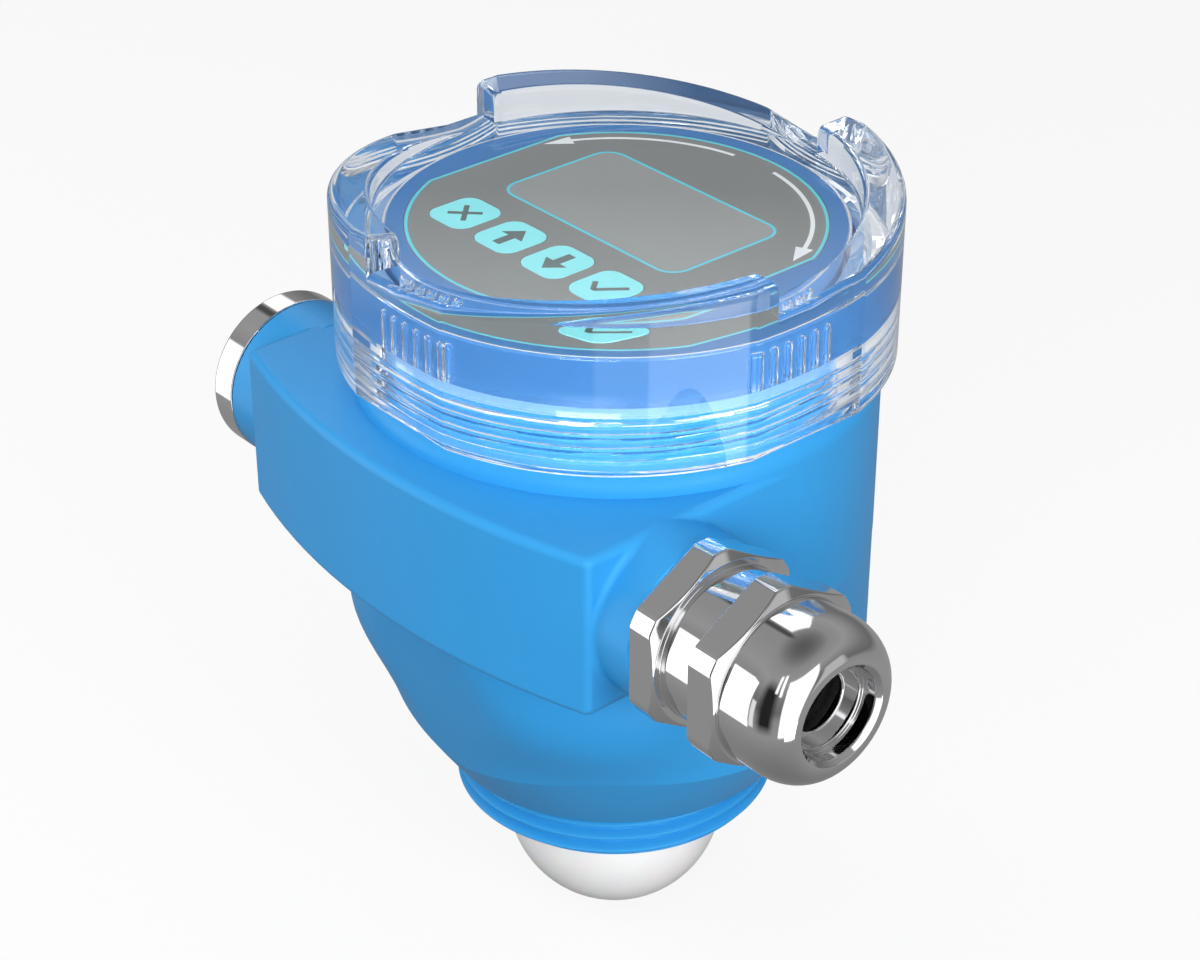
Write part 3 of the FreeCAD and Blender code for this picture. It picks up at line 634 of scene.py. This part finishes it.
# %% Profiles about the gland's axis
GLAND_Y, GLAND_Z = [(low + high) / 2 / MM for low, high in zip(*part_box("dome_nut"))][1:]


def softened(corners, turn, steps=5):
    """A closed profile whose corners are rounded, for every angle of turn at once.

    Each corner is (along, out, rounding) in mm. A rounded one becomes the curve
    (1-t)^2 * a + 2t(1-t) * corner + t^2 * b, where a and b lie on the lines to its
    neighbours, at the rounding's distance. A further point on each line keeps the
    flat next to it flat when it is shaded smooth.
    """
    spots = [np.stack([along + 0 * turn, out + 0 * turn], -1) for along, out, _ in corners]
    rows = []
    for i, (spot, corner) in enumerate(zip(spots, corners)):
        if not corner[2]:
            rows.append(spot)
            continue
        ways = []
        for other in (spots[i - 1], spots[(i + 1) % len(spots)]):
            length = np.linalg.norm(other - spot, axis=-1, keepdims=True)
            ways.append((other - spot) * np.minimum(corner[2] / length, 0.4))
        rows.append(spot + 1.15 * ways[0])
        for t in np.linspace(0, 1, steps):
            rows.append(spot + (1 - t) ** 2 * ways[0] + t ** 2 * ways[1])
        rows.append(spot + 1.15 * ways[1])
    return np.array(rows)


def along_gland(profile, turn):
    """Turns a profile of (along, out) about the gland's axis, which runs along X."""
    along, out = profile[..., 0], profile[..., 1]
    return np.stack([along, GLAND_Y + out * np.cos(turn), GLAND_Z + out * np.sin(turn)], -1)


# %% The spanner flats
HEX_FLAT, HEX_CORNER, HEX_FACE_R = 12.0, 13.2, 11.7
HEX_EDGE = math.degrees(math.acos(HEX_FLAT / HEX_CORNER))
near_edge = HEX_EDGE + np.array([-2.6, -1.7, -1.1, -0.7, -0.35, 0, 0.35, 0.7, 1.1, 1.7, 2.6])
one_flat = np.concatenate([-near_edge[::-1], np.linspace(-20, 20, 15), near_edge, [30]])
spanner_turns = np.radians((60 * np.arange(6)[:, None] + one_flat).ravel())


def spanner(turn, flat=HEX_FLAT, corner=HEX_CORNER, soft=0.06):
    """Distance from the axis to a hexagon with turned corners.

    The smaller of flat / cos(angle from the flat's middle) and corner, blended softly by
    -soft * log(exp(-first / soft) + exp(-second / soft)).
    """
    off = (turn + np.pi / 6) % (np.pi / 3) - np.pi / 6
    return -soft * np.logaddexp(-flat / np.cos(off) / soft, -corner / soft)


def chamfer(turn, end):
    """Where the cone that chamfers a hexagon's end meets its side: 1 mm in for 2 mm out."""
    return end - (spanner(turn) - HEX_FACE_R) / 2


print("gland axis at", round(GLAND_Y, 2), round(GLAND_Z, 2), "with", len(spanner_turns), "angles")

# %% [markdown]
# An M20 thread has a pitch of 1.5 mm. The body carries it outside and the dome nut
# inside. The two are written with the same screw formula, half a pitch apart, so the nut
# can be screwed off along it, and the thread shows in the gap that it leaves.

# %% Sizes along the gland and its thread
ENTRY_PITCH, ENTRY_DEPTH, ENTRY_R = 1.5, 0.5, 10.0
BODY_START, BOSS_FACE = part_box("gland_body")[0].x / MM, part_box("gland_oring")[1].x / MM
BODY_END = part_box("gland_body")[1].x / MM
NUT_START, NUT_END = [corner.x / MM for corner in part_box("dome_nut")]
WAIST_R, THROAT_R, SEAL_BORE = 10.8, 6.5, 8.05
SEAL_START = BOSS_FACE + 10.4
CLAMP_START, CLAMP_END = [corner.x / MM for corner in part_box("clamp_ring")]
CLAMP_R, LIP_R = 8.5, 4.1


def screw(start, stop, turn, outside=True):
    """Rows of a thread from start to stop, faded out at both ends.

    Outside: root + depth * ridge. Inside, for the nut: bore - depth * ridge, half a turn on.
    """
    low, high = min(start, stop), max(start, stop)
    rows = []
    for x in np.linspace(start, stop, int(12 * (high - low))):
        fade = np.clip(min(x - low, high - x) / 0.8, 0, 1)
        if outside:
            r = ENTRY_R - ENTRY_DEPTH + fade * ENTRY_DEPTH * ridge(x, turn, ENTRY_PITCH, 0.8)
        else:
            crest = ridge(x, turn + np.pi, ENTRY_PITCH, 0.6)
            r = ENTRY_R + 0.05 - fade * (ENTRY_DEPTH - 0.1) * crest
        rows.append((x, r, 0))
    return rows


# %% Gland body
t = spanner_turns
body_profile = softened([
    (BOSS_FACE, spanner(t), 0.3), (chamfer(t, BOSS_FACE + 4.6), spanner(t), 0.2),
    (BOSS_FACE + 4.6, HEX_FACE_R, 0.12), (BOSS_FACE + 4.6, WAIST_R, 0.12),
    (NUT_START - 0.4, WAIST_R, 0.2), (NUT_START - 0.4, ENTRY_R - ENTRY_DEPTH, 0)]
    + screw(NUT_START - 0.3, BODY_END - 0.3, t) + [
    (BODY_END, ENTRY_R - ENTRY_DEPTH - 0.2, 0), (BODY_END, SEAL_BORE, 0),
    (SEAL_START, SEAL_BORE, 0), (SEAL_START, THROAT_R, 0), (BODY_START, THROAT_R, 0.3),
    (BODY_START, ENTRY_R - ENTRY_DEPTH, 0.2)]
    + screw(BODY_START + 0.3, BOSS_FACE - 0.3, t) + [(BOSS_FACE, ENTRY_R - ENTRY_DEPTH, 0)], t)
gland_metal = piece("gland_metal", along_gland(body_profile, t), plated, "base", sharp=30)
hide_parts("gland_body")

# %% [markdown]
# The dome nut's outline is close to a quarter of an ellipse that ends on a flat mouth. A
# cubic curve draws it: (1-s)^3 * start + 3s(1-s)^2 * handle + 3s^2(1-s) * handle + s^3 * end.
# Inside the nut sits the clamp ring that presses on the seal.

# %% Dome nut and clamp ring
DOME_R, DOME_DEPTH, DOME_FACE_R, MOUTH_R, MOUTH_STEP_R = 11.4, 6.0, 7.2, 6.3, 5.6
ROUND = 0.5523                          # handle of a cubic curve that draws a quarter circle
s = np.linspace(0, 1, 15)
first, second, third, last = (1 - s) ** 3, 3 * s * (1 - s) ** 2, 3 * s ** 2 * (1 - s), s ** 3
handle_r = DOME_FACE_R + ROUND * (DOME_R - DOME_FACE_R)
dome_r = (first + second) * DOME_R + third * handle_r + last * DOME_FACE_R
dome_x = NUT_END - DOME_DEPTH * (first + second * (1 - ROUND))
dome_rows = [(x, r, 0) for x, r in zip(dome_x, dome_r)]
HEX_END = NUT_START + 4.9
nut_profile = softened([
    (NUT_START, HEX_FACE_R, 0.1), (NUT_START + 0.15, spanner(t), 0.12),
    (chamfer(t, HEX_END), spanner(t), 0.2), (HEX_END, HEX_FACE_R, 0.12), (HEX_END, DOME_R, 0.1)]
    + dome_rows + [
    (NUT_END, MOUTH_R + 0.68, 0.1), (NUT_END - 0.6, MOUTH_R, 0.15),
    (CLAMP_END + 1.4, MOUTH_R, 0.1), (CLAMP_END + 1.4, MOUTH_STEP_R, 0.2),
    (CLAMP_END, MOUTH_STEP_R, 0), (CLAMP_END, CLAMP_R + 0.05, 0),
    (BODY_END + 0.2, CLAMP_R + 0.05, 0), (BODY_END + 0.2, ENTRY_R + 0.05, 0)]
    + screw(BODY_END, NUT_START + 0.6, t, outside=False) + [(NUT_START, ENTRY_R + 0.4, 0.1)], t)
clamp_profile = softened([
    (CLAMP_START, CLAMP_R, 0.1), (CLAMP_START, 5.2, 0), (CLAMP_END - 1.0, 5.0, 0),
    (CLAMP_END - 0.7, LIP_R, 0.15), (CLAMP_END, LIP_R, 0.3), (CLAMP_END, CLAMP_R, 0.1)], turns)
clamp_metal = piece("clamp_metal", along_gland(clamp_profile, turns), plated,
                    "clamp_ring", sharp=30)
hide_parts("clamp_ring")
nut_metal = piece("nut_metal", along_gland(nut_profile, t), plated, "dome_nut", sharp=30)
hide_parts("dome_nut")

# %% [markdown]
# The entry on the far side is closed by a plug with a socket for a hexagon key. Its grid
# starts in the middle of the socket's floor, climbs the six walls, crosses the rim and
# returns down the thread.

# %% Blanking plug
PLUG_FACE, PLUG_TIP = [corner.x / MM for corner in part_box("blanking_plug")]
PLUG_R, PLUG_SEAT = 12.2, -BOSS_FACE
KEY_FLAT, KEY_DEPTH = 5.0, 5.0
near_corner = [-2.5, -1.2, -0.5, -0.15, 0, 0.15, 0.5, 1.2, 2.5]
one_wall = np.concatenate([near_corner, np.linspace(5, 55, 21)])
t = np.radians((60 * np.arange(6)[:, None] + one_wall).ravel())
socket = spanner(t + np.pi / 6, KEY_FLAT, 2 * KEY_FLAT, 0.02)
plug_profile = softened([
    (PLUG_FACE + KEY_DEPTH, 0, 0), (PLUG_FACE + KEY_DEPTH, socket, 0.15), (PLUG_FACE, socket, 0.3),
    (PLUG_FACE, PLUG_R - 0.5, 0.2), (PLUG_FACE + 0.5, PLUG_R, 0.2), (PLUG_SEAT, PLUG_R, 0.2),
    (PLUG_SEAT, ENTRY_R - ENTRY_DEPTH, 0)]
    + screw(PLUG_SEAT + 0.3, PLUG_TIP - 0.5, t)
    + [(PLUG_TIP, ENTRY_R - 0.9, 0), (PLUG_TIP, 0, 0)], t)
plug_metal = piece("plug_metal", along_gland(plug_profile, t), plated, "base", sharp=30)
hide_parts("blanking_plug")

# %% [markdown]
# The faceplate's print is thin ink: a cyan frame round the display, a cyan line along the
# plate's edge, two white arrows that show which way the lid turns, and a plain symbol on
# each key. Every stroke is a flat band along a path, whose width may change on the way,
# so one function draws lines, arrows and symbols.

# %% A stroke of ink
FACE_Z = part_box("faceplate")[1].z / MM
KEY_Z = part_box("key_up")[1].z / MM
INK = 0.04                              # thickness of the ink, in mm


def middle(node):
    """Centre of a node's box, seen from above, in mm."""
    low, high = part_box(node)
    return (low.x + high.x) / 2 / MM, (low.y + high.y) / 2 / MM


def stroke(name, path, width, z, material, body, closed=False):
    """A band of ink along path, in mm: edges at path plus and minus normal * width / 2."""
    path = np.asarray(path, float)
    if closed:
        ahead, behind = np.roll(path, -1, 0), np.roll(path, 1, 0)
    else:
        ahead, behind = np.vstack([path[1:], path[-1:]]), np.vstack([path[:1], path[:-1]])
    way = ahead - behind
    normal = np.stack([-way[:, 1], way[:, 0]], -1) / np.linalg.norm(way, axis=1)[:, None]
    half = normal * np.broadcast_to(np.asarray(width, float), len(path))[:, None] / 2
    if not closed:
        path, half = (np.vstack([p[:1], p, p[-1:]]) for p in (path, half))
        half[0] = half[-1] = 0
    low, high = z - INK / 4, z + INK
    rows = [np.column_stack([path + side * half, height + 0 * path[:, 0]])
            for side, height in ((1, low), (1, high), (-1, high), (-1, low))]
    if not closed:
        for points in rows:
            points[[0, -1], 2] = (low + high) / 2
    return piece(name, np.array(rows), material, body, close_columns=closed)


def arrow(span, shaft, head, head_length, steps=40):
    """Shares of an arrow's way from 0 to 1, and its width at each: the shaft, then the head."""
    neck = 1 - head_length / span
    shares = np.concatenate([np.linspace(0, neck, steps), [neck + 0.0005, 1]])
    return shares, np.concatenate([np.full(steps, shaft), [head, 0.02]])


# %% Frame, edge line and arrows
LCD_CORNER, LINE = 3.0, 0.45
LCD_X, LCD_Y = middle("lcd_window")
half_x, half_y = (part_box("lcd_window")[1].x / MM - LCD_X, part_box("lcd_window")[1].y / MM - LCD_Y)
frame_path = []
for corner, (side_x, side_y) in enumerate(((1, 1), (-1, 1), (-1, -1), (1, -1))):
    around = np.radians(90 * corner + np.linspace(0, 90, 10))
    centre = (LCD_X + side_x * (half_x - LCD_CORNER), LCD_Y + side_y * (half_y - LCD_CORNER))
    frame_path.append(centre + LCD_CORNER * np.stack([np.cos(around), np.sin(around)], -1))
stroke("display_line", np.concatenate(frame_path), LINE, FACE_Z, line_cyan, "base",
       closed=True)

EDGE_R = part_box("faceplate")[1].y / MM - 0.3
EDGE_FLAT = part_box("faceplate")[1].x / MM - 0.3
around = np.linspace(0, 2 * np.pi, 240, endpoint=False)
edge_path = np.stack([np.clip(EDGE_R * np.cos(around), -EDGE_FLAT, EDGE_FLAT),
                      EDGE_R * np.sin(around)], -1)
stroke("edge_line", edge_path, LINE, FACE_Z, line_cyan, "base", closed=True)

ARROW_R = 26.6
for name, start, stop in (("open_arrow", 100, 162), ("close_arrow", 83, 20)):
    shares, widths = arrow(math.radians(abs(stop - start)) * ARROW_R, 0.62, 2.5, 4.2)
    around = np.radians(start + (stop - start) * shares)
    path = ARROW_R * np.stack([np.cos(around), np.sin(around)], -1)
    stroke(name, path, widths, FACE_Z, arrow_white, "base")

# %% Key symbols
SYMBOL, CROSS_ARM = 0.75, 1.7           # width of a line and reach of the cross, in mm
for name, sign in (("up", 1), ("down", -1)):
    x, y = middle("key_" + name)
    shares, widths = arrow(5.3, 1.4, 4.2, 2.5)
    path = np.stack([x + 0 * shares, y + sign * (5.3 * shares - 2.6)], -1)
    stroke("symbol_" + name, path, widths, KEY_Z, key_ink, "key_" + name)
tick = np.array([(-2.2, 0.1), (-0.75, -1.6), (-0.55, -1.6), (2.3, 2.0)])
stroke("symbol_accept", middle("key_accept") + tick, SYMBOL, KEY_Z, key_ink,
       "key_accept")
for name, rise, lift in (("a", 1, 0.005), ("b", -1, 0)):
    arm = np.array([(-CROSS_ARM, -rise * CROSS_ARM), (CROSS_ARM, rise * CROSS_ARM)])
    stroke("symbol_escape_" + name, middle("key_escape") + arm, SYMBOL, KEY_Z + lift, key_ink,
           "key_escape")

# %% [markdown]
# A studio for a product portrait: a large lamp in front, cards on the left and the
# right, and a weak one overhead. The world gives the rest as an even grey, and is white
# to the camera. Polished metal shows only what it reflects, and with nothing dark to
# reflect it looks like paper, so mirror rays see a room of their own: a grey ramp with
# white boxes and a dark side. Rays that pass through the lid see a third room with dark
# bands at the horizon, which draw the edges of clear plastic. Both rooms hold for what
# the camera sees, and after a diffuse bounce a ray finds the even grey again, so that
# they don't light the plastics.

# %% The room and its panels
world = bpy.data.worlds.new("studio")
bpy.context.scene.world = world
room = Finish("studio", world)
direction = room.node("ShaderNodeTexCoord", out="Generated")
way_x, way_y, way_z = (room.node("ShaderNodeSeparateXYZ", {0: direction}, out=i) for i in range(3))


def panel(azimuth, half, low, high, soft=0.04):
    """1 on a panel of the room, which spans half to each side of azimuth, in degrees.

    Its heights low and high are the z of a unit direction. The share is the product of
    (half - |angle|) / soft, (z - low) / soft and (high - z) / soft, each held in 0 to 1.
    """
    a = math.radians(azimuth)
    ahead = way_x * math.cos(a) + way_y * math.sin(a)
    aside = way_y * math.cos(a) - way_x * math.sin(a)
    angle = ahead.maths("ARCTAN2", aside, ahead)
    ramps = [(math.radians(half) - angle.maths("ABSOLUTE", angle)) * (1 / soft),
             (way_z - low) * (1 / soft), (high - way_z) * (1 / soft)]
    share = 1
    for ramp in ramps:
        share = share * ramp.maths("MINIMUM", ramp.maths("MAXIMUM", ramp, 0), 1)
    return share


def grey(level):
    return (level, level, level, 1.0)


# %% What mirrors, glass and the camera see of the room
AMBIENT = 0.42
greys = ((0.0, 0.20), (0.25, 0.33), (0.42, 0.30), (0.5, 0.16), (0.6, 0.20), (0.8, 0.36),
         (0.92, 0.30), (1.0, 0.12))     # from straight down to straight up
mirror_room = room.node("ShaderNodeValToRGB", {0: 0.5 + 0.5 * way_z},
                        stops=[(place, (level,) * 3) for place, level in greys])
for azimuth, half, low, high, level, soft in [
        (276, 21, -0.50, 0.66, 0.02, 0.22),     # the dark side behind the camera's left
        (171, 7, 0.55, 0.95, 0.08, 0.08),       # a dark strip high behind the sensor
        (226, 18, -0.46, 0.42, 1.7, 0.03),      # a tall white box on the left
        (250, 5, -0.42, 0.12, 0.9, 0.03),       # a narrow, duller one beside it
        (-20, 31, -0.52, 0.64, 1.4, 0.04),      # a wide white box on the right
        (-8, 21, -0.57, -0.43, 3.0, 0.02),      # a low strip that lights the lid's round wall
        (28, 12, -0.30, 0.30, 0.55, 0.06),      # a dull card further round
        (148, 17, 0.42, 0.85, 1.6, 0.05),       # a high box behind
        (-63, 4, 0.34, 0.76, 1.5, 0.03),        # two thin tubes over the camera
        (-74, 4, 0.40, 0.74, 1.3, 0.03)]:
    mirror_room = room.blend(panel(azimuth, half, low, high, soft), mirror_room, grey(level))
glass_room = room.node("ShaderNodeValToRGB", {0: 0.5 + 0.5 * way_z}, stops=[
    (0.0, (0.82, 0.84, 0.87)), (0.46, (0.64, 0.67, 0.71)), (0.49, (0.07, 0.08, 0.10)),
    (0.53, (0.12, 0.14, 0.17)), (0.57, (0.58, 0.61, 0.65)), (0.64, (0.24, 0.27, 0.31)),
    (0.71, (0.93, 0.95, 0.97)), (1.0, (1.0, 1.0, 1.0))])
straight = 1 - room.node("ShaderNodeLightPath", out="Diffuse Depth").over(0.5)
mirrored = room.node("ShaderNodeLightPath", out="Is Glossy Ray") * straight
refracted = room.node("ShaderNodeLightPath", out="Is Transmission Ray") * straight
colour = room.blend(mirrored, grey(AMBIENT), mirror_room)
colour = room.blend(refracted, colour, glass_room)
colour = room.blend(room.node("ShaderNodeLightPath", out="Is Camera Ray"), colour, grey(1.0))
background = room.node("ShaderNodeBackground", {"Color": colour, "Strength": 1.0})
room.node("ShaderNodeOutputWorld", {"Surface": background})


# %% Lamps
def lamp(name, at, aim, size, watts):
    """A square soft lamp at a place in mm, turned towards another; mirrors don't show it."""
    data = bpy.data.lights.new(name, "AREA")
    data.size = size * MM
    data.energy = watts
    holder = bpy.data.objects.new(name, data)
    holder.location = Vector(at) * MM
    holder.rotation_euler = (Vector(at) - Vector(aim)).to_track_quat("Z", "Y").to_euler()
    holder.visible_glossy = False
    bpy.context.scene.collection.objects.link(holder)


lamp("overhead", (60, -140, 520), (0, 0, 40), 420, 0.3)
lamp("left_card", (-420, -260, 220), (0, 0, 40), 300, 0.9)
lamp("right_card", (520, -60, 200), (0, 0, 40), 260, 1.6)
lamp("front_card", (380, -500, 300), (0, 0, 45), 280, 2.5)

# %% [markdown]
# The floor is a plain pale sheet under the lens. It has to be white in the picture and
# still show where the sensor's shadow falls, so it is part white light, which the
# camera sees, also through the lid, and part matt paint, which the shadow darkens. To
# other rays the paint is dark, because a bright floor would light the sensor from below.
# Mirror rays pass it to reach their own room, and from below it isn't there.

# %% Floor
FLOOR_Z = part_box("lens")[0].z
floor_mesh = bpy.data.meshes.new("floor")
REACH = 3.0
floor_mesh.from_pydata([(-REACH, -REACH, FLOOR_Z), (REACH, -REACH, FLOOR_Z),
                        (REACH, REACH, FLOOR_Z), (-REACH, REACH, FLOOR_Z)], [], [(0, 1, 2, 3)])
floor = bpy.data.objects.new("floor", floor_mesh)
bpy.context.scene.collection.objects.link(floor)
f = Finish("white_sheet")
path = {kind: f.node("ShaderNodeLightPath", out="Is %s Ray" % kind)
        for kind in ("Camera", "Glossy", "Transmission")}
paint = f.node("ShaderNodeBsdfDiffuse", {"Color": f.blend(path["Camera"], grey(0.16), grey(0.85))})
glow = f.node("ShaderNodeEmission", {"Color": grey(1.0), "Strength": 1.0})
seen = path["Camera"].maths("MAXIMUM", path["Camera"], path["Transmission"])
sheet = f.node("ShaderNodeMixShader", {0: 0.85 * seen, 1: paint, 2: glow})
nothing = f.node("ShaderNodeBsdfTransparent", {"Color": grey(1.0)})
under = f.node("ShaderNodeNewGeometry", out="Backfacing")
hidden = under.maths("MAXIMUM", under, path["Glossy"])
one_sided = f.node("ShaderNodeMixShader", {0: hidden, 1: sheet, 2: nothing})
floor_mesh.materials.append(f.finish(one_sided))

# %% [markdown]
# The colours are meant to render as they are written, so the view transform is plain.
# A ray in the lid's rim is thrown back many times before it leaves, and one that runs out
# of bounces turns black, so the limits are raised.

# %% Close
scene = bpy.context.scene
scene.view_settings.view_transform = "Standard"
scene.cycles.max_bounces = 24
scene.cycles.glossy_bounces = 16
scene.cycles.transmission_bounces = 20
